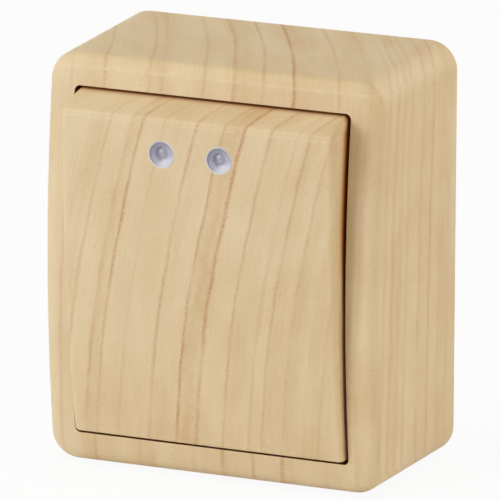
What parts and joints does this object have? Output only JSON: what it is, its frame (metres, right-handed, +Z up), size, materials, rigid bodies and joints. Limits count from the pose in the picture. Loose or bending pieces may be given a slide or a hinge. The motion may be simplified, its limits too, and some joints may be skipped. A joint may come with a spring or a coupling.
{
  "type": "surface mounted light switch",
  "caption": "Box shaped wall switch with a wood grain cover, one wide rocker with round indicator lenses, and a screwed-down rocker mechanism.",
  "frame": {"origin": "middle of the back, on the wall plane", "axes": "+Z up, +Y into the wall, +X to the right as one faces the switch"},
  "size_m": [0.0632, 0.0404, 0.074],
  "materials": {
    "wood_print_plastic": "satin, pale wood grain print",
    "white_plastic": "matt",
    "grey_plastic": "matt",
    "clear_plastic": "clear, polished",
    "lamp_plastic": "clear",
    "board": "lacquered",
    "resistor": "lacquered",
    "brass": "bright",
    "contact_silver": "bright",
    "plated_steel": "zinc plated"
  },
  "bodies": {
    "housing": {"base": "white_plastic", "cover": "wood_print_plastic", "mechanism_housing": "grey_plastic", "led_left": "lamp_plastic", "led_right": "lamp_plastic", "indicator_board": "board", "dropper_resistor": "resistor", "fulcrum_strip": "brass", "load_strip": "brass", "line_terminal": "brass", "load_terminal": "brass", "fixed_contact": "contact_silver", "line_terminal_screw": "plated_steel", "load_terminal_screw": "plated_steel", "line_indicator_lead": "plated_steel", "load_indicator_lead": "plated_steel", "cover_screw_left": "plated_steel", "cover_screw_right": "plated_steel", "mechanism_screw_left": "plated_steel", "mechanism_screw_right": "plated_steel"},
    "rocker": {"rocker_cap": "wood_print_plastic", "rocker_cradle": "white_plastic", "lens_left": "clear_plastic", "lens_right": "clear_plastic"},
    "plunger": {"plunger": "white_plastic", "plunger_spring": "plated_steel"},
    "contact_lever": {"contact_lever": "brass", "moving_contact": "contact_silver"}
  },
  "joints": [
    {"name": "rocker_hinge", "type": "hinge", "parent": "housing", "child": "rocker", "pos_m": [0, -0.0275, 0], "axis": [-1, 0, 0], "range_deg": [0, 10]},
    {"name": "plunger_slide", "type": "slide", "parent": "rocker", "child": "plunger", "axis": [0, -0.9962, -0.0872], "range_m": [0, 0.0006], "stiffness_N_per_m": 800, "springref_m": -0.0015},
    {"name": "contact_lever_hinge", "type": "hinge", "parent": "housing", "child": "contact_lever", "pos_m": [0, -0.0137, 0], "axis": [-1, 0, 0], "range_deg": [-12, 0]}
  ],
  "couplings": [
    {"joint": "contact_lever_hinge", "follows": "rocker_hinge", "ratio": -1.2}
  ]
}
